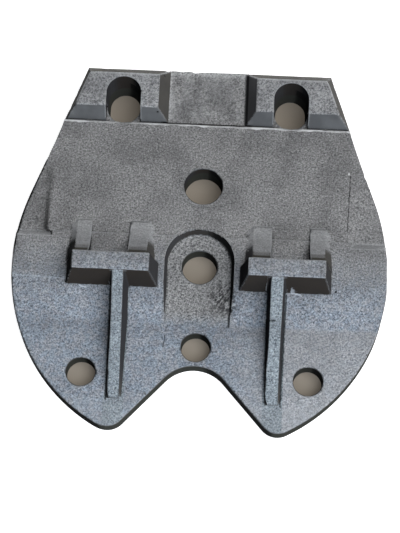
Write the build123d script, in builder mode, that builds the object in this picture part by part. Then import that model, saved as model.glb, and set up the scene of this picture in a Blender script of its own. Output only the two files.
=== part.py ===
"""Crusher jaw plate: one steel casting, seen from its mounting side.

The plate lies on its flat hidden face. X is across, Y runs from the two lobes
at -Y to the bolting blocks at +Y, and Z is up through the thickness.
"""
import os
from math import asin, cos, exp, radians, sin, sqrt, tan

from build123d import *

# Plan of the plate, in millimetres
far_y = 238.6  # straight edge behind the bolting blocks
far_half = 156.5  # half the length of that edge
step_y = 162.5  # where the block seat meets the thick middle of the plate
step_half = 183.0
shoulder_drop = 6.5  # small outward jog just below the step
shoulder_jog = 1.2
half_width = 236.4  # half the widest part
belly_y = -36.5  # where the plate is widest
flank_lean = 17.1  # of the flank where it meets the shoulder, in degrees
flank_full = 72.0  # reach of its curve at the widest part
flank_long = 91.5  # and at the shoulder
lobe_r = 226.0  # flank below it, which runs into the lobe's tip
tip_x = 105.5
tip_r = 25.0
notch_y = -157.3  # top of the rounded notch between the lobes
notch_r = 48.0

# Levels above the hidden face
low_top = 22.5  # lobes and floor of the middle channel
main_top = 36.5  # thick middle of the plate
bar_rise = 2.5  # low crossbar that carries the lugs
seat_drop = 3.0  # block seat below the middle of the plate
block_h = 22.5  # blocks above their seat
lug_h = 51.5  # lugs above the middle of the plate

# Crossbar and the slope down to the lobes
bar_far_y = 9.0
slope_top_y = -52.0
slope_foot_y = -102.0
slope_r = 40.0  # soft turns at its top and foot

# Sunk margins outside the crossbar
margin_x = 196.0  # foot of the fold that bounds it
margin_far_y = 95.0  # where the margin begins
margin_sink = 3.2  # how far it has sunk at the crossbar, where it ends
margin_wall = 52.0  # lean of the fold from upright, in degrees

# Middle channel
channel_half = 44.0
channel_end_y = -25.0  # centre of its rounded end
channel_draft = 12.0

# Round holes
upper_hole_y = 77.3
upper_hole_r = 24.0
channel_hole_y = -27.3
channel_hole_r = 21.8
low_hole_y = -133.0
low_hole_r = 18.0
lobe_hole_turn = 45.65  # round the centre of the lobe's flank, in degrees
lobe_hole_inset = 38.7  # from that flank
lobe_hole_r = 18.0

# Bolting blocks, with the lean of each side given as an inset at the top
block_inner_x = 49.5
block_near_gap = 1.0  # between the step and the foot of the block
block_inner_inset = 14.0
block_near_inset = 13.0
block_far_inset = 15.5
block_outer_inset = 8.5
block_corner_r = 3.0

# Bolt slots through the blocks
slot_x = 108.3
slot_near_y = 182.8  # centres of its two round ends
slot_far_y = 195.8
slot_r = 22.2
slot_draft = 2.75

# Lugs: a drafted wall across the crossbar
lug_inner_x = 61.0  # ends of the wall at its top
lug_outer_x = 157.0
lug_near_y = -56.5
lug_far_y = -33.0
lug_side_draft = 11.0
lug_face_draft = 5.0
gusset_drop = 2.0  # all gussets stop this far below the top of the wall

# Two gussets behind each lug, with flared outer flanks
ear_in_x = 66.0  # straight flank of the inner gusset
ear_in_w = 24.0
ear_out_w = 19.0
ear_far_y = 25.5
ear_start_slope = 5.0  # of the hollow curve at its far end, in degrees
ear_nose = 0.8  # height of the blunt far end
ear_flare_x = 10.0
ear_flare_y = 7.0
ear_steps = 6

# Long gusset rib on the near side of each lug
rib_x = 98.2
rib_near_y = -203.5
rib_top_half = 6.6
rib_wall_half = 12.0  # half width at the foot, at the lug
rib_nose_half = 9.5  # and at the near end
rib_nose_h = 3.0
rib_root = 5.0  # how deep the rib's foot is cast into the plate

worn_bevel = 1.2  # of every edge that stands up
corner_r = 3.0  # cast round between rib and lug

bar_top = main_top + bar_rise
seat_top = main_top - seat_drop
block_top = seat_top + block_h
lug_top = main_top + lug_h
over = 20.0  # how far cutters reach past what they cut


def tangent_line(start, start_r, end, end_r):
    """Ends of the line that touches two circles on its left; a negative radius is on its right."""
    along = Vector(*end) - Vector(*start)
    lean = (start_r - end_r) / along.length
    across = along.rotate(Axis.Z, 90)
    normal = (along * lean + across * sqrt(1 - lean**2)) / along.length
    return Vector(*start) + normal * start_r, Vector(*end) + normal * end_r


def rise_at(y: float) -> float:
    """Height of a lug gusset over the plate, on a hollow arc up to the lug."""
    run = ear_far_y - lug_far_y
    climb = lug_h - gusset_drop - ear_nose
    chord = sqrt(run**2 + climb**2)
    lean = asin(climb / chord)
    start = radians(ear_start_slope)
    r = chord / (2 * sin(lean - start))
    turned = asin((ear_far_y - y) / r + sin(start))
    return r * (cos(start) - cos(turned)) + ear_nose


def flare_at(y: float) -> float:
    """How far the foot of the flared flank stands out from the top edge."""
    return ear_flare_x * (1 - exp(-(ear_far_y - y) / ear_flare_y)) + ear_nose


def edge_in(edge: Edge, near_x: float, far_x: float, low_y: float, high_y: float) -> bool:
    """Whether an edge of either half lies between these limits."""
    points = [edge.position_at(t) for t in (0, 0.5, 1)]
    return all(near_x <= abs(p.X) <= far_x and low_y <= p.Y <= high_y for p in points)


def is_rim(edge: Edge) -> bool:
    """Whether an edge is the upper rim of a round hole."""
    box = edge.bounding_box()
    return edge.is_closed and box.min.Z > low_top - worn_bevel and box.size.Z < worn_bevel


def on_outline(edge: Edge, high_y: float) -> bool:
    """Whether an edge is part of the upper edge of the outline, all nearer than high_y."""
    points = [edge.position_at(t) for t in (0, 0.5, 1)]
    outer = plan.sketch.faces()[0].outer_wire()
    return all(
        abs(p.Z - low_top) < worn_bevel and p.Y < high_y and outer.distance_to((p.X, p.Y, 0)) < worn_bevel / 10
        for p in points
    )


# Plan of the whole plate
shoulder = (step_half + shoulder_jog, step_y - shoulder_drop)
flank_turn = (
    shoulder[0] + flank_long * sin(radians(flank_lean)),
    shoulder[1] - flank_long * cos(radians(flank_lean)),
)
lobe_c = (half_width - lobe_r, belly_y)
tip_c = (tip_x, belly_y - sqrt((lobe_r - tip_r) ** 2 - (tip_x - lobe_c[0]) ** 2))
tip_y = tip_c[1] - tip_r
lobe_end = Vector(*lobe_c) + (Vector(*tip_c) - Vector(*lobe_c)).normalized() * lobe_r
lobe_hole_x = lobe_c[0] + (lobe_r - lobe_hole_inset) * cos(radians(lobe_hole_turn))
lobe_hole_y = lobe_c[1] - (lobe_r - lobe_hole_inset) * sin(radians(lobe_hole_turn))
notch_c = (0, notch_y - notch_r)
notch_line = tangent_line(tip_c, tip_r, notch_c, -notch_r)
with BuildSketch() as plan:
    with BuildLine():
        Polyline((0, far_y), (far_half, far_y), (step_half, step_y), shoulder)
        Bezier(shoulder, flank_turn, (half_width, belly_y + flank_full), (half_width, belly_y))
        RadiusArc((half_width, belly_y), lobe_end, lobe_r)
        RadiusArc(lobe_end, notch_line[0], tip_r)
        Line(*notch_line)
        RadiusArc(notch_line[1], (0, notch_y), -notch_r)
        mirror(about=Plane.YZ)
    make_face()

# Sunk margin: a plane that leaves the surface at its far end and sinks towards the crossbar
margin_run = margin_far_y - bar_far_y
margin_plane = Plane(
    origin=(0, margin_far_y, main_top),
    x_dir=(1, 0, 0),
    z_dir=(0, -margin_sink, margin_run),
)

# Bolting block of the right half, drafted on every side
block_near_y = step_y + block_near_gap
outer_lean = (step_half - far_half) / (far_y - step_y)
outer_near = step_half - block_near_gap * outer_lean
with BuildPart() as block:
    with BuildSketch(Plane.XY.offset(seat_top)) as block_foot:
        Polygon(
            (block_inner_x, block_near_y),
            (outer_near, block_near_y),
            (far_half, far_y),
            (block_inner_x, far_y),
            align=None,
        )
    with BuildSketch(Plane.XY.offset(block_top)) as block_face:
        Polygon(
            (block_inner_x + block_inner_inset, block_near_y + block_near_inset),
            (outer_near - block_outer_inset - block_near_inset * outer_lean, block_near_y + block_near_inset),
            (far_half - block_outer_inset + block_far_inset * outer_lean, far_y - block_far_inset),
            (block_inner_x + block_inner_inset, far_y - block_far_inset),
            align=None,
        )
    loft(ruled=True)
    fillet(block.edges().filter_by(Plane.XY, reverse=True), block_corner_r)
    chamfer(block.faces().sort_by(Axis.Z)[-1].edges(), worn_bevel)

# Lug of the right half: a drafted wall that stands in the crossbar and the slope
lug_deep = lug_top - low_top
side_out = lug_deep * tan(radians(lug_side_draft))
face_out = lug_deep * tan(radians(lug_face_draft))
with BuildPart() as lug:
    with BuildSketch(Plane.XY.offset(low_top)) as lug_foot:
        with Locations(((lug_inner_x + lug_outer_x) / 2, (lug_near_y + lug_far_y) / 2)):
            Rectangle(lug_outer_x - lug_inner_x + 2 * side_out, lug_far_y - lug_near_y + 2 * face_out)
    with BuildSketch(Plane.XY.offset(lug_top)) as lug_crown:
        with Locations(((lug_inner_x + lug_outer_x) / 2, (lug_near_y + lug_far_y) / 2)):
            Rectangle(lug_outer_x - lug_inner_x, lug_far_y - lug_near_y)
    loft(ruled=True)
    chamfer(lug.edges(), worn_bevel)

    # Gussets behind the lug: sections along Y, hollow on top and flared outwards
    for outer_x, width, side in ((lug_outer_x, ear_out_w, 1), (ear_in_x, ear_in_w, -1)):
        sections = []
        for step in range(ear_steps + 1):
            y = ear_far_y - (ear_far_y - lug_far_y) * step / ear_steps
            crown = main_top + rise_at(y)
            with BuildSketch(Plane(origin=(outer_x, y, 0), x_dir=(side, 0, 0), z_dir=(0, -side, 0))) as section:
                Polygon(
                    (-width, low_top),
                    (-width, crown),
                    (0, crown),
                    (flare_at(y), main_top),
                    (flare_at(y), low_top),
                    align=None,
                )
            sections.append(section.sketch)
        loft(sections, ruled=True)

# Long gusset rib of the right half, from the lug down to nothing near the lobe's tip
with BuildPart() as rib:
    for y, foot_half, crown in (
        (lug_near_y, rib_wall_half, lug_top - gusset_drop),
        (rib_near_y, rib_nose_half, low_top + rib_nose_h),
    ):
        with BuildSketch(Plane(origin=(rib_x, y, 0), x_dir=(1, 0, 0), z_dir=(0, -1, 0))):
            Polygon(
                (-foot_half, low_top - rib_root),
                (-foot_half, low_top),
                (-rib_top_half, crown - worn_bevel),
                (worn_bevel - rib_top_half, crown),
                (rib_top_half - worn_bevel, crown),
                (rib_top_half, crown - worn_bevel),
                (foot_half, low_top),
                (foot_half, low_top - rib_root),
                align=None,
            )
    loft(ruled=True)

with BuildPart() as jaw_plate:
    # Plate: its levels, from the block seat down to the lobes, cut to the plan
    with BuildSketch(Plane.YZ.offset(-half_width)):
        with BuildLine():
            FilletPolyline(
                (bar_far_y, bar_top),
                (slope_top_y, bar_top),
                (slope_foot_y, low_top),
                (tip_y, low_top),
                radius=slope_r,
            )
            Polyline(
                (tip_y, low_top),
                (tip_y, 0),
                (far_y, 0),
                (far_y, seat_top),
                (step_y, seat_top),
                (step_y, main_top),
                (bar_far_y, main_top),
                (bar_far_y, bar_top),
            )
        make_face()
    extrude(amount=2 * half_width)
    add(plan.sketch)
    extrude(amount=bar_top, mode=Mode.INTERSECT)

    # Sunk margins
    with BuildSketch(margin_plane):
        with Locations((margin_x, 0)):
            Rectangle(2 * half_width, margin_run, align=(Align.MIN, Align.MAX))
        mirror(about=Plane.YZ)
    extrude(amount=over, taper=-margin_wall, mode=Mode.SUBTRACT)

    # Middle channel, open towards the lobes
    with BuildSketch(Plane.XY.offset(bar_top)):
        with Locations((0, channel_end_y)):
            Circle(channel_half)
            Rectangle(2 * channel_half, channel_end_y - slope_foot_y + over, align=(Align.CENTER, Align.MAX))
    extrude(amount=low_top - bar_top, taper=channel_draft, mode=Mode.SUBTRACT)

    # Blocks, lugs, gussets and ribs of both halves
    for upright in (block, lug, rib):
        add(upright.part)
        mirror(upright.part, about=Plane.YZ)

    # Bolt slots, drafted, and open on the near side from the seat upwards
    with BuildSketch(Plane.XY.offset(block_top)):
        with Locations((slot_x, (slot_near_y + slot_far_y) / 2), (-slot_x, (slot_near_y + slot_far_y) / 2)):
            SlotCenterToCenter(slot_far_y - slot_near_y, 2 * slot_r, rotation=90)
    extrude(amount=-block_top, taper=slot_draft, mode=Mode.SUBTRACT)
    with BuildSketch(Plane.XY.offset(seat_top)):
        with Locations((slot_x, step_y), (-slot_x, step_y)):
            Rectangle(2 * slot_r, slot_near_y - step_y, align=(Align.CENTER, Align.MIN))
    extrude(amount=block_h, mode=Mode.SUBTRACT)

    # Round holes
    with BuildSketch():
        for x, y, r in (
            (0, upper_hole_y, upper_hole_r),
            (0, channel_hole_y, channel_hole_r),
            (0, low_hole_y, low_hole_r),
            (lobe_hole_x, lobe_hole_y, lobe_hole_r),
            (-lobe_hole_x, lobe_hole_y, lobe_hole_r),
        ):
            with Locations((x, y)):
                Circle(r)
    extrude(amount=bar_top, mode=Mode.SUBTRACT)

    # Cast rounds between each rib and its lug, and worn rims
    inner_corners = [
        edge
        for edge in jaw_plate.edges()
        if edge.length > lug_h / 2
        and edge_in(edge, rib_x - rib_wall_half, rib_x + rib_wall_half, lug_near_y - face_out, lug_near_y + worn_bevel)
    ]
    fillet(inner_corners, corner_r)
    rims = [edge for edge in jaw_plate.edges().filter_by(GeomType.CIRCLE) if is_rim(edge)]
    chamfer(rims, worn_bevel)
    lobe_edges = [
        edge
        for edge in jaw_plate.edges()
        if on_outline(edge, slope_foot_y - slope_r / 2)
    ]
    chamfer(lobe_edges, worn_bevel)

os.makedirs("parts", exist_ok=True)
jaw_plate.part.label = "jaw_plate"
export_step(jaw_plate.part, "parts/jaw_plate.step")
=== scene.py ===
"""Crusher jaw plate: one steel casting lying on its hidden face, seen on its mounting side."""
import math

import bmesh
import bpy
import numpy as np
from mathutils import Matrix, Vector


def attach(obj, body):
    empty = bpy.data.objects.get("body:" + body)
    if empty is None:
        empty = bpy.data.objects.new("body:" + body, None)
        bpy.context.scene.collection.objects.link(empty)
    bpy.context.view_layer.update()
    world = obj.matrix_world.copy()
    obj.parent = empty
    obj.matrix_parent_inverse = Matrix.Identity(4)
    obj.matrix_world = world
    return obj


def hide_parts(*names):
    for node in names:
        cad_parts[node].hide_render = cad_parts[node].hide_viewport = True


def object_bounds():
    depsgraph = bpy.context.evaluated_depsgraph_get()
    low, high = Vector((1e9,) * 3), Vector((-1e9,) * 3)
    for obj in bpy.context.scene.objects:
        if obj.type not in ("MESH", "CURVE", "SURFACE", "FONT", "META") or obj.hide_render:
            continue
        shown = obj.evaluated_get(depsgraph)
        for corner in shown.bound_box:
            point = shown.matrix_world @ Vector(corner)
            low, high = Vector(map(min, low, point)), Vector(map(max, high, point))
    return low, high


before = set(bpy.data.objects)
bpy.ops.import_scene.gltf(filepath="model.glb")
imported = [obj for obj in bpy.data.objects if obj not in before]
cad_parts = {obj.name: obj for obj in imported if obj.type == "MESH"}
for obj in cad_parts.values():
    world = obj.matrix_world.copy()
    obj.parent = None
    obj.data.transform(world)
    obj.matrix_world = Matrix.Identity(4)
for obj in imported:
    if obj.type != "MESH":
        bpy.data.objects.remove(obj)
cad_low, cad_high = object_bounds()

# The camera stands high over the near lobes, 2.3 m away, and looks down at the mounting side.
# Its place and turn are the photograph's; the frame is 400 x 533, so the long side is upright.
CAMERA_PLACE = (0.048045, -0.766626, 2.186018)
CAMERA_TURN = (18.92609, 0.31037, 2.76672)  # degrees about X, Y and Z
lens = bpy.data.cameras.new("camera")
lens.sensor_fit = "VERTICAL"
lens.sensor_height = 36.0
lens.lens = 121.95
lens.clip_start = 0.05
camera = bpy.data.objects.new("camera", lens)
camera.location = CAMERA_PLACE
camera.rotation_euler = [math.radians(angle) for angle in CAMERA_TURN]
bpy.context.scene.collection.objects.link(camera)
bpy.context.scene.camera = camera

# The plate is one manganese steel casting, poured in sand with its lugs and ribs standing on it.
# Its skin is left as cast, with chipped rims, metal run out along the feet of its lugs, and
# margins that sink past a soft fold.
CELL = 0.004  # of the skin's mesh
FINE_CELL = 0.0025  # at the lugs' feet, where metal ran out
MERGE = 1e-6
SNAP = 4e-6  # a plane this near a vertex passes through it
FLAT_ANGLE = math.radians(0.05)
SHARP_ANGLE = math.radians(30)
FOOT_X = (0.056, 0.166)
FOOT_Y = (-0.0665, -0.0545)
FOOT_BOTTOM = 0.02
LOW_TOP = 0.0225  # of the plate between the lobes
MAIN_TOP = 0.0365
BAR_TOP = 0.0390
FAR_EDGE = cad_high[1]
RIB_X = 0.0982


def slice_skin(skin, low, high, cell, faces):
    """Cuts the faces by planes at low + cell / 2 + n cells, up to high, for each axis given."""
    edges = {edge for face in faces for edge in face.edges}
    verts = {vert for face in faces for vert in face.verts}
    geom = list(faces) + list(edges) + list(verts)
    for axis in range(len(low)):
        across = np.eye(3)[axis]
        for level in np.arange(low[axis] + cell / 2, high[axis], cell):
            plane = {"plane_co": across * level, "plane_no": across}
            cut = bmesh.ops.bisect_plane(skin, geom=geom, dist=SNAP, **plane)
            geom = cut["geom"]


def eased(value, low, high):
    """s * s * (3 - 2 s), where s is how far the value is from low to high, held between 0 and 1."""
    share = np.clip((value - low) / (high - low), 0, 1)
    return share * share * (3 - 2 * share)


def lumps(points, size, seed):
    """Random heights from -1 to 1 on a lattice of that size, eased between its eight corners."""
    cells = 32
    lattice = np.random.RandomState(seed).uniform(-1, 1, (cells, cells, cells))
    scaled = points / size + 2 * cells
    base = np.floor(scaled).astype(int)
    ease = eased(scaled - base, 0, 1)
    total = np.zeros(len(points))
    for corner in np.ndindex(2, 2, 2):
        share = np.prod(np.where(corner, ease, 1 - ease), axis=1)
        total += share * lattice[tuple(((base + corner) % cells).T)]
    return total


skin = bmesh.new()
skin.from_mesh(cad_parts["jaw_plate"].data)
bmesh.ops.remove_doubles(skin, verts=skin.verts, dist=MERGE)
bmesh.ops.dissolve_limit(skin, angle_limit=FLAT_ANGLE, verts=skin.verts, edges=skin.edges)
slice_skin(skin, cad_low, cad_high, CELL, skin.faces[:])
fine_parts = ((FOOT_X, (-FOOT_X[1], -FOOT_X[0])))
for x0, x1 in fine_parts:
    centres = [(face, face.calc_center_bounds()) for face in skin.faces]
    rows = [(face, c) for face, c in centres if FOOT_Y[0] < c.y < FOOT_Y[1]]
    feet = [face for face, c in rows if x0 < c.x < x1 and c.z > FOOT_BOTTOM]
    slice_skin(skin, (x0, FOOT_Y[0]), (x1, FOOT_Y[1]), FINE_CELL, feet)
bmesh.ops.triangulate(skin, faces=[face for face in skin.faces if len(face.verts) > 4])
mesh = bpy.data.meshes.new("casting")
skin.to_mesh(mesh)
skin.free()

places = np.empty(len(mesh.vertices) * 3)
mesh.vertices.foreach_get("co", places)
places = places.reshape(-1, 3)
normals = np.empty(len(mesh.vertices) * 3)
mesh.vertices.foreach_get("normal", normals)
normals = normals.reshape(-1, 3)
x, y, z = places.T.copy()
is_left = x < 0
faces_up = normals[:, 2] > 0.6
faces_out = np.abs(normals[:, 2]) < 0.8

# The fold turns smoothly from the main face down to the sunk margin, wider towards the crossbar.
MARGIN = {"far": 0.095, "near": 0.009, "inner": 0.183, "sink": 0.0032}
LEFT_FOLD = {"x": 0.1935, "drift": 0.0, "width": 0.0045, "spread": 0.0055}
RIGHT_FOLD = {"x": 0.1920, "drift": 0.006, "width": 0.0045, "spread": 0.0085}
along = np.clip((MARGIN["far"] - y) / (MARGIN["far"] - MARGIN["near"]), 0, 1)
fold = {key: np.where(is_left, LEFT_FOLD[key], RIGHT_FOLD[key]) for key in LEFT_FOLD}
fold_x = fold["x"] - fold["drift"] * along
fall = eased(np.abs(x), fold_x, fold_x + fold["width"] + fold["spread"] * along)
folded = MAIN_TOP - MARGIN["sink"] * along * fall
on_margin = (y > MARGIN["near"] + 0.001) & (y < MARGIN["far"]) & (np.abs(x) > MARGIN["inner"])
on_margin &= faces_up & (z > MAIN_TOP - 2 * MARGIN["sink"])
places[:, 2] = np.where(on_margin, np.where(is_left, folded, np.minimum(z, folded)), z)

# The ribs swell unevenly: each flank is moved to where the photograph shows it.
RIB = {"near": -0.21, "lug": -0.055, "half": 0.0125, "foot": (0.001, 0.007)}
SLOPE = (-0.102, -0.052)  # foot and crest of the slope that the ribs stand on
STATIONS = (-0.2, -0.125, -0.064)
FLANK_SHIFTS = {
    # plate half and side of the rib, and how far the flank moves at each station
    (-1, -1): (-0.0024, -0.0007, -0.0014),
    (1, -1): (-0.0040, -0.0015, -0.0018),
    (1, 1): (0.0, 0.0003, 0.0012),
}
bed = np.interp(y, SLOPE, (LOW_TOP, BAR_TOP))
on_rib = (y > RIB["near"]) & (y < RIB["lug"]) & (z > bed + RIB["foot"][0])
on_rib &= np.abs(np.abs(x) - RIB_X) < RIB["half"]
for (half, side), shifts in FLANK_SHIFTS.items():
    flank = on_rib & (x * half > 0) & ((x - half * RIB_X) * side > 0)
    places[:, 0] += flank * np.interp(y, STATIONS, shifts) * eased(z - bed, *RIB["foot"])

# The side walls spread towards the foot, more on the right of the blocks than on the left.
# The rim is the widest point in each band of the mesh along the plate.
BANDS = 120
INSIDE = 0.0002  # kept clear of the CAD's widest point
RIM_DEPTH = (0.020, 0.002)  # how far in from the rim the spread starts, and where it is whole
FADE = (0.037, 0.070)  # heights between which the spread fades
SPREADS = {
    # plate half: places along the plate, and the spread at each
    -1: ((-0.2, -0.1, -0.04, 0.01, 0.06, FAR_EDGE), (0.0018, 0.0011, 0.0, 0.0010, 0.0016, 0.0014)),
    1: ((-0.17, -0.12, -0.06, 0.0, 0.05, FAR_EDGE), (0.0, 0.0008, 0.0006, 0.0006, 0.0026, 0.0030)),
}
side_wall = faces_out & (np.abs(normals[:, 0]) > 0.5) & (np.abs(x) > 0.1) & (z < 0.03)
row = (y + FAR_EDGE) / CELL
band = np.clip(row.astype(int), 0, BANDS - 1)
for half, (stations, amounts) in SPREADS.items():
    mine = side_wall & (x * half > 0)
    widest = np.zeros(BANDS)
    np.maximum.at(widest, band[mine], np.abs(x[mine]))
    known = np.nonzero(widest)[0]
    rim = np.interp(row, known + 0.5, widest[known])
    spread = np.minimum(np.interp(y, stations, amounts), cad_high[0] - INSIDE - rim)
    spread *= eased(np.abs(x), rim - RIM_DEPTH[0], rim - RIM_DEPTH[1]) * (x * half > 0.06)
    places[:, 0] += half * spread * eased(-z, -FADE[1], -FADE[0])

# A sand casting is never flat: the whole skin swells and sinks, apart from its hidden face.
SWELL = {"depth": 0.0006, "large": 0.032, "small": 0.013, "over": (0.001, 0.006)}
swell = 0.5 + 0.35 * lumps(places, SWELL["large"], 3) + 0.15 * lumps(places, SWELL["small"], 4)
places -= normals * (eased(z, *SWELL["over"]) * swell * SWELL["depth"])[:, None]

# Chips along the far rims: the outer wall is pushed in where the noise is high, most of all
# between the blocks.
CHIP = {"depth": 0.0014, "at_seat": 0.0027, "size": 0.009, "over": (0.01, 0.03)}
CHIP_STRETCH = (1, 1, 0.4)  # a chip is taller than it is wide
SEAT_HALF = 0.056
far_wall = y > FAR_EDGE - 0.002
outer_wall = faces_out & (z > 0.004) & (y > 0.05) & (far_wall | (np.abs(x) > 0.15))
chips = eased(lumps(places * CHIP_STRETCH, CHIP["size"], 11), 0.15, 0.75) * eased(z, *CHIP["over"])
depth = np.where((np.abs(x) < SEAT_HALF) & far_wall, CHIP["at_seat"], CHIP["depth"])
places[:, :2] -= normals[:, :2] * (outer_wall * chips * depth)[:, None]

# Metal has run out in a ragged line along the feet of the lugs.
RUN_OUT = {"y": -0.0605, "width": 0.0022, "height": 0.0016, "large": 0.012, "small": 0.0045}
LUG = {"x": 0.111, "half": 0.053}
foot = np.exp(-(((places[:, 1] - RUN_OUT["y"]) / RUN_OUT["width"]) ** 2))
foot *= np.abs(np.abs(x) - LUG["x"]) < LUG["half"]
foot *= (z < BAR_TOP + 0.001) & (normals[:, 2] > 0.1)
ragged = lumps(places, RUN_OUT["small"], 21) + 0.35 * lumps(places, RUN_OUT["large"], 22)
places[:, 2] += foot * np.clip(ragged, 0, 1) * RUN_OUT["height"]

# Painted shade lies in the left fold, which turns away from the light, and thins out over the margin: least
# + (1 - least) exp(-(distance / width)^2).
FOLD_SHADING = {"x": 0.1940, "least": 0.3, "width": 0.005, "widening": 0.006}
FOLD_SHADING_ENDS = {"near": (0.004, 0.010), "far": (0.088, 0.108)}  # where it fades along the plate
past_fold = np.abs(x) - FOLD_SHADING["x"]
shading_width = FOLD_SHADING["width"] + FOLD_SHADING["widening"] * along
fold_shading = np.exp(-((np.maximum(past_fold, 0) / shading_width) ** 2))
fold_shading = FOLD_SHADING["least"] + (1 - FOLD_SHADING["least"]) * fold_shading
fold_shading *= eased(past_fold, -0.001, 0.0015) * is_left * (z > 0.028) * (normals[:, 2] > 0.5)
fold_shading *= eased(y, *FOLD_SHADING_ENDS["near"]) * (1 - eased(y, *FOLD_SHADING_ENDS["far"]))

mesh.vertices.foreach_set("co", places.ravel())
mesh.update()
mesh.set_sharp_from_angle(angle=SHARP_ANGLE)
mesh.attributes.new("fold", "FLOAT", "POINT").data.foreach_set("value", fold_shading)
casting = bpy.data.objects.new("casting", mesh)
bpy.context.scene.collection.objects.link(casting)
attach(casting, "root")
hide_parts("jaw_plate")


def colour(code):
    """An sRGB hex colour as linear light: v / 12.92 when dark, else ((v + 0.055) / 1.055)^2.4."""
    values = np.array([int(code[i : i + 2], 16) for i in (1, 3, 5)]) / 255
    return (*np.where(values > 0.04045, ((values + 0.055) / 1.055) ** 2.4, values / 12.92), 1.0)


def add(tree, kind, inputs, out=0, **settings):
    """Adds a node with its settings; each input is a value or another node's output."""
    node = tree.nodes.new(kind)
    for name, value in settings.items():
        setattr(node, name, value)
    for key, value in inputs.items():
        if isinstance(value, bpy.types.NodeSocket):
            tree.links.new(value, node.inputs[key])
        else:
            node.inputs[key].default_value = value
    return node.outputs[out]


# Manganese steel with its sand-cast skin, dull and half metallic. Faces that looked up in the mould
# are pale and speckled with grain, drafted walls are smooth and dark with painted shade, and standing
# edges rub bright. Painted light and shade lie over the skin in places as well.
steel = bpy.data.materials.new("manganese steel, as cast in sand")
steel.use_nodes = True
tree = steel.node_tree
shader = tree.nodes["Principled BSDF"]
space = add(tree, "ShaderNodeTexCoord", {}, "Object")
facing = add(tree, "ShaderNodeTexCoord", {}, "Normal")
spot_x, spot_y, spot_z = (add(tree, "ShaderNodeSeparateXYZ", {0: space}, axis) for axis in "XYZ")
rightward, farward, upward = (add(tree, "ShaderNodeSeparateXYZ", {0: facing}, axis) for axis in "XYZ")
middle = add(tree, "ShaderNodeMath", {0: spot_x}, operation="ABSOLUTE")
off_rib = add(tree, "ShaderNodeMath", {0: middle, 1: RIB_X}, operation="SUBTRACT")
off_rib = add(tree, "ShaderNodeMath", {0: off_rib}, operation="ABSOLUTE")

# Patterns, as cells in a decimetre, detail and roughness. Moulding sand is 0.2 to 0.5 mm, but its
# grit and flecks are drawn at 2.3 and 2.5 mm, so that they show where a pixel covers 1.25 mm.
DECIMETRE = 0.1
FLECKS = 40
drawn_out = add(tree, "ShaderNodeVectorMath", {0: space, 1: (1, 0.25, 1)}, operation="MULTIPLY")
slant = {"Rotation": (0, 0, math.radians(55)), "Scale": (2.0, 0.8, 1)}
slanted = add(tree, "ShaderNodeMapping", {0: space, **slant}, vector_type="TEXTURE")
PATTERNS = {
    "grit": (space, 44, 3.0, 0.85),
    "stains": (space, 2.2, 3.0, 0.6),  # patches 45 mm wide
    "hue": (space, 12, 2.0, 0.6),  # 8 mm
    "mottle": (space, 4.6, 3.0, 0.6),  # 22 mm
    "streaks": (drawn_out, 7.5, 2.0, 0.5),  # 13 mm wide and four times as long
    "ripples": (slanted, 26, 1.0, 0.5),  # 3 mm wide and 8 mm long
    "wander": (space, 7, 2.0, 0.5),  # of the lip's line, 14 mm
}
pattern = {}
for name, (where, cells, detail, roughness) in PATTERNS.items():
    noise = {"Vector": where, "Scale": cells / DECIMETRE, "Detail": detail, "Roughness": roughness}
    pattern[name] = add(tree, "ShaderNodeTexNoise", noise)
grains = {"Vector": space, "Scale": FLECKS / DECIMETRE}
fleck_size = add(tree, "ShaderNodeTexVoronoi", grains, "Distance")
fleck_pick = add(tree, "ShaderNodeTexVoronoi", grains, "Color")
fleck_pick = add(tree, "ShaderNodeSeparateColor", {0: fleck_pick})
inner_open = add(tree, "ShaderNodeAmbientOcclusion", {"Distance": 0.0024}, "AO", inside=True, samples=6)
outer_open = add(tree, "ShaderNodeAmbientOcclusion", {"Distance": 0.006}, "AO", samples=6)
RIPPLED = (0.0340, -0.0680, LOW_TOP)  # a patch of the channel's bottom
to_patch = add(tree, "ShaderNodeVectorMath", {0: space, 1: RIPPLED}, "Value", operation="DISTANCE")
rounded = add(tree, "ShaderNodeBevel", {"Radius": 0.002}, samples=4)
rounded_x = add(tree, "ShaderNodeSeparateXYZ", {0: rounded}, "X")
line_y = add(tree, "ShaderNodeMath", {0: pattern["wander"], 1: 0.5}, operation="SUBTRACT")
line_y = add(tree, "ShaderNodeMath", {0: line_y, 1: 0.0055, 2: spot_y}, operation="MULTIPLY_ADD")

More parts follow.
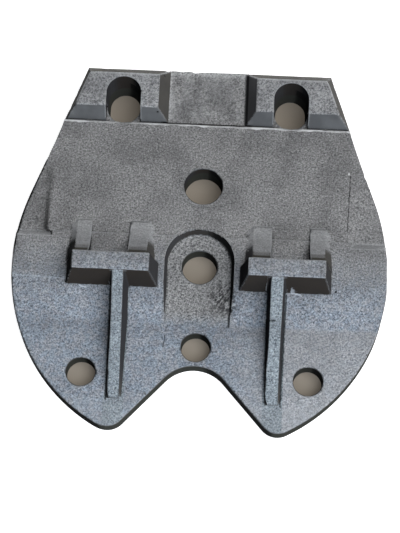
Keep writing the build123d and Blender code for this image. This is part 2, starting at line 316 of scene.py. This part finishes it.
# Masks: each turns smoothly from 0 to 1 between two values of what it follows.
RAMPS = {
    # by which way a face looks
    "tops": (upward, 0.55, 0.80),
    "walls": (upward, 0.42, 0.15),
    "looks right": (rightward, 0.3, 0.7),
    "looks left": (rightward, -0.3, -0.7),
    "looks far": (farward, 0.3, 0.7),
    "leans far": (farward, 0.05, 0.20),
    "leans near": (farward, -0.12, -0.22),
    "left edge": (rounded_x, -0.12, -0.45),
    # along the plate, from the far rim to the near tips
    "far rim": (spot_y, 0.229, 0.236),
    "short of far rim": (spot_y, 0.232, 0.222),
    "seat": (spot_y, 0.165, 0.175),
    "groove's far side": (spot_y, 0.1660, 0.1645),
    "near seat's edge": (spot_y, 0.1634, 0.1628),
    "groove's near side": (spot_y, 0.1622, 0.1626),
    "lip line": (line_y, 0.1592, 0.1608),
    "far part": (spot_y, 0.1, 0.15),
    "upper part": (spot_y, -0.05, 0.0),
    "near part": (spot_y, 0.02, -0.11),
    "near lugs": (spot_y, -0.055, -0.060),
    "above lobes": (spot_y, -0.11, -0.08),
    "below slope": (spot_y, -0.100, -0.106),
    "foot of slope": (spot_y, -0.135, -0.104),
    "tips": (spot_y, -0.195, -0.215),
    # across the plate
    "channel": (middle, 0.046, 0.042),
    "ribs": (off_rib, 0.013, 0.012),
    "middle": (middle, 0.064, 0.050),
    "between blocks": (middle, 0.062, 0.055),
    "inside blocks": (middle, 0.062, 0.058),
    "seat's middle": (middle, 0.047, 0.038),
    "outer sides": (middle, 0.140, 0.150),
    "right side": (spot_x, 0.02, 0.12),
    "left strip": (spot_x, -0.0465, -0.0495),
    "far left": (spot_x, -0.130, -0.136),
    # up from the hidden face
    "block tops": (spot_z, 0.045, 0.052),
    "over bar": (spot_z, 0.0372, 0.0392),
    "under bar": (spot_z, 0.0385, 0.0375),
    "low rim": (spot_z, 0.0245, 0.0235),
    "channel bottom": (spot_z, 0.0255, 0.0235),
    "low walls": (spot_z, 0.024, 0.020),
    # by patterns and by how closed in a spot is
    "stains": (pattern["stains"], 0.38, 0.68),
    "hue": (pattern["hue"], 0.42, 0.60),
    "mottle": (pattern["mottle"], 0.42, 0.60),
    "streaks": (pattern["streaks"], 0.44, 0.56),
    "ripples": (pattern["ripples"], 0.40, 0.58),
    "rippled patch": (to_patch, 0.030, 0.010),
    "flecks": (fleck_size, 0.5, 0.2),
    "worn": (inner_open, 0.92, 0.50),
    "creases": (outer_open, 0.85, 0.35),
}
mask = {}
for name, (follows, start, end) in RAMPS.items():
    ramp = {"Value": follows, 1: start, 2: end}
    mask[name] = add(tree, "ShaderNodeMapRange", ramp, interpolation_type="SMOOTHSTEP")
mask["bright grains"] = add(tree, "ShaderNodeMath", {0: fleck_pick, 1: 0.72}, operation="GREATER_THAN")
mask["grain tops"] = add(tree, "ShaderNodeMapRange", {"Value": pattern["grit"], 1: 0.34, 2: 0.66})
mask["fold shading"] = add(tree, "ShaderNodeAttribute", {}, "Fac", attribute_name="fold")
calm = {"Value": spot_y, 1: 0.0, 2: -0.09, 3: 0.3, 4: 0.18}
mask["calm"] = add(tree, "ShaderNodeMapRange", calm, interpolation_type="SMOOTHSTEP")
faint = {"Value": pattern["stains"], 1: 0.4, 2: 0.6, 3: 0.35, 4: 1.0}
mask["faint"] = add(tree, "ShaderNodeMapRange", faint, interpolation_type="SMOOTHSTEP")
# How strong the painted shade in creases is: less on walls.
mask["shading"] = add(tree, "ShaderNodeMapRange", {"Value": mask["walls"], 3: 0.7, 4: 0.45})

# The near part is cooler, partly in the skin's tone and partly as painted light of the cool window, but
# only by a fifth of that in the channel.
in_channel = add(tree, "ShaderNodeMath", {0: mask["channel"], 1: mask["above lobes"]}, operation="MULTIPLY")
kept = add(tree, "ShaderNodeMath", {0: in_channel, 1: -0.8, 2: 1.0}, operation="MULTIPLY_ADD")
mask["near part"] = add(tree, "ShaderNodeMath", {0: mask["near part"], 1: kept}, operation="MULTIPLY")

# Outer walls get lighter painted shade along the upper sides and at the back.
outside = add(tree, "ShaderNodeMath", {0: mask["outer sides"], 1: mask["upper part"]}, operation="MULTIPLY")
mask["outside"] = add(tree, "ShaderNodeMath", {0: outside, 1: mask["looks far"]}, operation="MAXIMUM")

# Between the blocks, painted glints light the grains along the left strip and the far rim, and a little all
# over.
strip = add(tree, "ShaderNodeMath", {0: mask["left strip"], 1: 0.45}, operation="MULTIPLY")
shine = add(tree, "ShaderNodeMath", {0: mask["far rim"], 1: 0.5}, operation="MULTIPLY")
shine = add(tree, "ShaderNodeMath", {0: shine, 1: strip}, operation="MAXIMUM")
mask["shine"] = add(tree, "ShaderNodeMath", {0: shine, 1: 0.14}, operation="ADD")

# Edges rub bright where they stand over the crossbar, and half as much along the low rim.
rubs = add(tree, "ShaderNodeMath", {0: mask["over bar"], 1: 0.7}, operation="MULTIPLY")
rubs_low = {0: mask["low rim"], 1: 0.35, 2: rubs}
mask["rubs"] = add(tree, "ShaderNodeMath", rubs_low, operation="MULTIPLY_ADD")

# The left edges carry painted shade, as they turn away from the light, up to the crossbar's level, and at
# the far left on every level.
rims = {0: mask["under bar"], 1: mask["far left"]}
mask["left rims"] = add(tree, "ShaderNodeMath", rims, operation="MAXIMUM")


def coated(base, coats):
    """Each coat in turn: base + (paint - base) x strength x the product of the coat's masks."""
    for names, strength, paint in coats:
        cover = strength
        for name in names:
            cover = add(tree, "ShaderNodeMath", {0: cover, 1: mask[name]}, operation="MULTIPLY")
        inputs = {0: cover, 6: base, 7: colour(paint) if isinstance(paint, str) else paint}
        base = add(tree, "ShaderNodeMix", inputs, 2, data_type="RGBA")
    return base


# The tops' grain is dark in its pits and pale on its tops. A coat has its masks, strength and colour.
PITS = (
    (("near part",), 1.0, "#565e68"),
    (("leans near",), 0.7, "#353d47"),
    (("right side", "below slope"), 0.65, "#8d9196"),
    (("block tops", "far part"), 1.0, "#4f5155"),
    (("channel bottom", "channel", "above lobes"), 1.0, "#333436"),
    (("ribs", "near lugs"), 1.0, "#434b54"),
)
# The near part's grain tops are cool and pale, partly painted light of the cool window.
cool = coated(colour("#c3d0df"), ((("hue",), 1.0, "#cfd4dd"),))
GRAIN_TOPS = (
    (("near part",), 1.0, cool),
    (("right side", "below slope"), 0.65, "#dcdcde"),
    (("block tops", "far part"), 1.0, "#d8dadd"),
    (("channel bottom", "channel", "above lobes"), 1.0, "#d0d1d2"),
    (("ribs", "near lugs"), 1.0, "#c0ccd4"),
)
GRAINY = (
    (("grain tops",), 1.0, coated(colour("#bfbfc0"), GRAIN_TOPS)),
    (("flecks", "bright grains"), 0.25, "#f0f2f4"),
)
# Walls are smooth, paler where they are drafted than where they are upright, with painted shade that is
# lightest where they face right and darkest where they face left.
DRAFTED = (
    (("looks right",), 1.0, "#615f5c"),
    (("looks far",), 1.0, "#5a5852"),
    (("looks left",), 1.0, "#535355"),
)
# Upright walls carry painted shade too: near black facing left, paler facing right, low down and outside.
UPRIGHT = (
    (("looks right",), 1.0, "#4c4c4e"),
    (("looks left",), 1.0, "#222225"),
    (("low walls",), 1.0, "#4b4c47"),
    (("outside",), 1.0, "#625f59"),
)
# The whole skin, from its faces to the stains and rubbed edges that lie on them, with painted light and
# shade laid over it.
SKIN = (
    (("walls",), 1.0, coated(colour("#494440"), UPRIGHT)),
    (("tops",), 1.0, coated(coated(colour("#565758"), PITS), GRAINY)),
    (("stains", "calm"), 1.0, "#3b3c3e"),
    # Painted shade in a band just below the foot of the slope.
    (("foot of slope", "below slope", "tops"), 0.16, "#45464b"),
    (("streaks", "middle", "seat", "tops"), 0.2, "#cdcfd2"),
    (("mottle", "seat's middle", "short of far rim", "seat", "tops"), 0.42, "#3f4042"),
    # Painted glints on the grains of the seat between the blocks.
    (("shine", "seat", "tops", "inside blocks", "grain tops"), 1.0, "#eceef0"),
    # Painted light of the near window, paler towards the tips.
    (("tips", "tops"), 0.12, "#d4d9df"),
    (("ripples", "rippled patch"), 0.85, "#2c2c2e"),
    (("worn", "rubs"), 1.0, "#c4c7cb"),
    # Painted shade in creases and corners.
    (("creases", "shading"), 1.0, "#171615"),
    # Painted shade on rounded edges that turn left.
    (("left edge", "left rims"), 0.85, "#202020"),
    # Painted light on tops that lean towards the far end.
    (("leans far", "tops"), 0.38, "#dfe2e6"),
    # Painted shade in the left fold.
    (("fold shading",), 0.5, "#2c2b2a"),
    # The near edge of the blocks' seat is rubbed to a bright lip, partly a painted highlight, with a dark
    # line of painted shade at the foot of the step behind it.
    (("lip line", "tops", "near seat's edge", "faint"), 1.0, "#f2f4f6"),
    (("groove's far side", "groove's near side", "between blocks"), 1.0, "#262626"),
)
tone = coated(coated(colour("#7d8083"), DRAFTED), SKIN)

# Small marks: cracks, nicks and burrs of the casting, and painted shadow along the foot of each rib and of
# the left rim.
MARKS = (
    # start, end, half width in metres, colour and strength
    ((0.1874, 0.1003), (0.1852, 0.0238), 0.0005, "#1d1d1e", 0.9),
    ((0.1852, 0.1022), (0.1854, 0.1034), 0.0012, "#f4f5f6", 0.9),
    ((-0.0388, -0.1187), (-0.0405, -0.1344), 0.0006, "#26282b", 0.8),
    ((0.0885, -0.1073), (0.0968, -0.1069), 0.0009, "#1f2124", 0.9),
    ((0.1716, -0.0580), (0.1729, -0.0566), 0.0010, "#1c1d1f", 0.9),
    ((0.1164, -0.0605), (0.1278, -0.0625), 0.0008, "#dfe6ee", 0.7),
    ((-0.1498, -0.0620), (-0.1419, -0.0640), 0.0008, "#dfe6ee", 0.7),
    # painted shadow along the outer foot of each rib
    ((-0.1106, -0.0640), (-0.1082, -0.2040), 0.0012, "#1d1f21", 0.8),
    ((0.1106, -0.0640), (0.1080, -0.2040), 0.0010, "#1d1f21", 0.8),
    # painted shadow along the left rim
    ((-0.2032, 0.1040), (-0.2158, 0.0700), 0.0017, "#161617", 0.95),
    ((-0.2158, 0.0700), (-0.2272, 0.0360), 0.0020, "#161617", 0.95),
    ((-0.2272, 0.0360), (-0.2339, 0.0040), 0.0024, "#161617", 0.95),
    ((-0.2339, 0.0040), (-0.2362, -0.0240), 0.0020, "#161617", 0.95),
    ((-0.2290, -0.0530), (-0.1680, -0.0545), 0.0007, "#c4cfdb", 0.4),
)
shaky = {"Vector": space, "Scale": 24 / DECIMETRE, "Detail": 2.0}
jitter = add(tree, "ShaderNodeTexNoise", shaky, "Color")
jitter = add(tree, "ShaderNodeVectorMath", {0: jitter, 1: (0.5, 0.5, 0.5)}, operation="SUBTRACT")
jitter = add(tree, "ShaderNodeVectorMath", {0: jitter, 1: (0.0028, 0.0028, 0)}, operation="MULTIPLY")
level = add(tree, "ShaderNodeVectorMath", {0: space, 1: (1, 1, 0)}, operation="MULTIPLY")
level = add(tree, "ShaderNodeVectorMath", {0: level, 1: jitter}, operation="ADD")
for start, end, half_width, code, strength in MARKS:
    run_x, run_y = end[0] - start[0], end[1] - start[1]
    length_squared = run_x**2 + run_y**2
    reach = add(tree, "ShaderNodeVectorMath", {0: level, 1: (*start, 0)}, operation="SUBTRACT")
    onto = {0: reach, 1: (run_x / length_squared, run_y / length_squared, 0)}
    share = add(tree, "ShaderNodeVectorMath", onto, "Value", operation="DOT_PRODUCT")
    share = add(tree, "ShaderNodeMath", {0: share, 1: 1.0}, operation="MULTIPLY", use_clamp=True)
    closest = {0: (run_x, run_y, 0), "Scale": share}
    closest = add(tree, "ShaderNodeVectorMath", closest, operation="SCALE")
    gap = add(tree, "ShaderNodeVectorMath", {0: reach, 1: closest}, "Value", operation="DISTANCE")
    stroke = {"Value": gap, 1: half_width * 1.5, 2: half_width * 0.5, 4: strength}
    stroke = add(tree, "ShaderNodeMapRange", stroke, interpolation_type="SMOOTHSTEP")
    inputs = {0: stroke, 6: tone, 7: colour(code)}
    tone = add(tree, "ShaderNodeMix", inputs, 2, data_type="RGBA")

# Only the grainy tops have a metal's sheen; the walls are matt with mould dust.
tree.links.new(tone, shader.inputs["Base Color"])
wall_metal = add(tree, "ShaderNodeMapRange", {"Value": mask["walls"], 3: 0.25, 4: 0.0})
metal = add(tree, "ShaderNodeMapRange", {"Value": mask["tops"], 3: wall_metal, 4: 0.75})
tree.links.new(metal, shader.inputs["Metallic"])
sheen = add(tree, "ShaderNodeMapRange", {"Value": mask["tops"], 3: 0.0, 4: 0.5})
tree.links.new(sheen, shader.inputs["Specular IOR Level"])
gloss = {"Value": pattern["grit"], 1: 0.3, 2: 0.7, 3: 0.6, 4: 0.4}
tree.links.new(add(tree, "ShaderNodeMapRange", gloss), shader.inputs["Roughness"])
rough = {"Value": upward, 1: 0.45, 2: 0.85, 3: 0.15, 4: 1.0}
rough = add(tree, "ShaderNodeMapRange", rough, interpolation_type="SMOOTHSTEP")
height = add(tree, "ShaderNodeMath", {0: pattern["grit"], 1: rough}, operation="MULTIPLY")
bump = {"Strength": 0.8, "Distance": 0.0016, "Height": height, "Normal": rounded}
tree.links.new(add(tree, "ShaderNodeBump", bump), shader.inputs["Normal"])
mesh.materials.append(steel)

# The plate lies on brown packing paper, cut inside its outline, which shows in the holes.
# It is matt, uncoated kraft board, and glows a little in place of the light that bounces in a hole.
PAPER_LEVEL = -0.0003
PAPER_HALF = ((0.045, -0.164), (0.11, -0.205), (0.165, -0.19), (0.2, -0.03), (0.165, 0.165), (0.15, 0.225))
PAPER_NOTCH = (0.0, -0.153)
PAPER_COLOUR = colour("#857d72")


def sheet(name, corners, level):
    """A flat sheet: one polygon through the corners, at z = level."""
    flat = bpy.data.meshes.new(name)
    points = [(x, y, level) for x, y in corners]
    flat.from_pydata(points, [], [tuple(range(len(points)))])
    piece = bpy.data.objects.new(name, flat)
    bpy.context.scene.collection.objects.link(piece)
    return piece


paper = sheet("paper", [PAPER_NOTCH, *PAPER_HALF, *((-x, y) for x, y in PAPER_HALF[::-1])], PAPER_LEVEL)
kraft = bpy.data.materials.new("kraft paper, matt")
kraft.use_nodes = True
fibre = kraft.node_tree.nodes["Principled BSDF"]
fibre.inputs["Base Color"].default_value = PAPER_COLOUR
fibre.inputs["Emission Color"].default_value = PAPER_COLOUR
fibre.inputs["Emission Strength"].default_value = 0.22
fibre.inputs["Roughness"].default_value = 0.9
paper.data.materials.append(kraft)

# A plain studio room in matt white paint, 60 m across, so that no view reaches past it. It is
# over-white to the camera and in reflections, and its floor darkens where the plate shades it.
FLOOR_LEVEL = -0.0006
ROOM_HALF = 30
WALL_HEIGHT = 8
CORNERS = ((-1, -1), (1, -1), (1, 1), (-1, 1))
floor = sheet("floor", [(ROOM_HALF * x, ROOM_HALF * y) for x, y in CORNERS], FLOOR_LEVEL)
room = bmesh.new()
room.from_mesh(floor.data)
for raised in bmesh.ops.extrude_edge_only(room, edges=room.edges[:])["geom"]:
    if isinstance(raised, bmesh.types.BMVert):
        raised.co.z += WALL_HEIGHT
room.to_mesh(floor.data)
room.free()
white = bpy.data.materials.new("studio floor, white paint")
white.use_nodes = True
room_tree = white.node_tree
paint = room_tree.nodes["Principled BSDF"]
paint.inputs["Base Color"].default_value = colour("#e8e8e8")
paint.inputs["Roughness"].default_value = 0.9
paint.inputs["Specular IOR Level"].default_value = 0.0
seen = add(room_tree, "ShaderNodeLightPath", {}, "Is Camera Ray")
for ray in ("Is Glossy Ray", "Is Transmission Ray"):
    more = add(room_tree, "ShaderNodeLightPath", {}, ray)
    seen = add(room_tree, "ShaderNodeMath", {0: seen, 1: more}, operation="MAXIMUM")
seen = add(room_tree, "ShaderNodeMath", {0: seen, 1: 0.85}, operation="MULTIPLY")
glow = add(room_tree, "ShaderNodeEmission", {"Strength": seen})
both = add(room_tree, "ShaderNodeAddShader", {0: paint.outputs[0], 1: glow})
room_tree.links.new(both, room_tree.nodes["Material Output"].inputs["Surface"])
floor.data.materials.append(white)

# Soft light falls from overhead, more from the right, with a cooler window light from the near side.
# The world adds almost nothing, so that the walls of the casting stay dark.
overhead = bpy.data.lights.new("overhead", "SUN")
overhead.energy = 2.2
overhead.angle = math.radians(50)
lamp = bpy.data.objects.new("overhead", overhead)
lamp.rotation_euler = (math.radians(6), math.radians(22), 0)
bpy.context.scene.collection.objects.link(lamp)
window = bpy.data.lights.new("window", "AREA")
window.energy = 3.4
window.size = 0.5
window.color = (0.78, 0.88, 1.0)
PANE_PLACE = np.array((0.12, -0.75, 0.8))
PANE_AIM = np.array((0.0, -0.1, 0.0))
aim = (PANE_AIM - PANE_PLACE) / np.linalg.norm(PANE_AIM - PANE_PLACE)
level_side = np.cross(aim, (0, 0, 1))
level_side /= np.linalg.norm(level_side)
pane = bpy.data.objects.new("window", window)
pane.location = PANE_PLACE
pane.rotation_euler = Matrix((level_side, np.cross(level_side, aim), -aim)).transposed().to_euler()
bpy.context.scene.collection.objects.link(pane)
world = bpy.data.worlds.new("studio")
world.use_nodes = True
air = world.node_tree.nodes["Background"]
air.inputs["Color"].default_value = (1.0, 1.0, 1.0, 1.0)
air.inputs["Strength"].default_value = 0.015
bpy.context.scene.world = world
bpy.context.scene.view_settings.view_transform = "Standard"
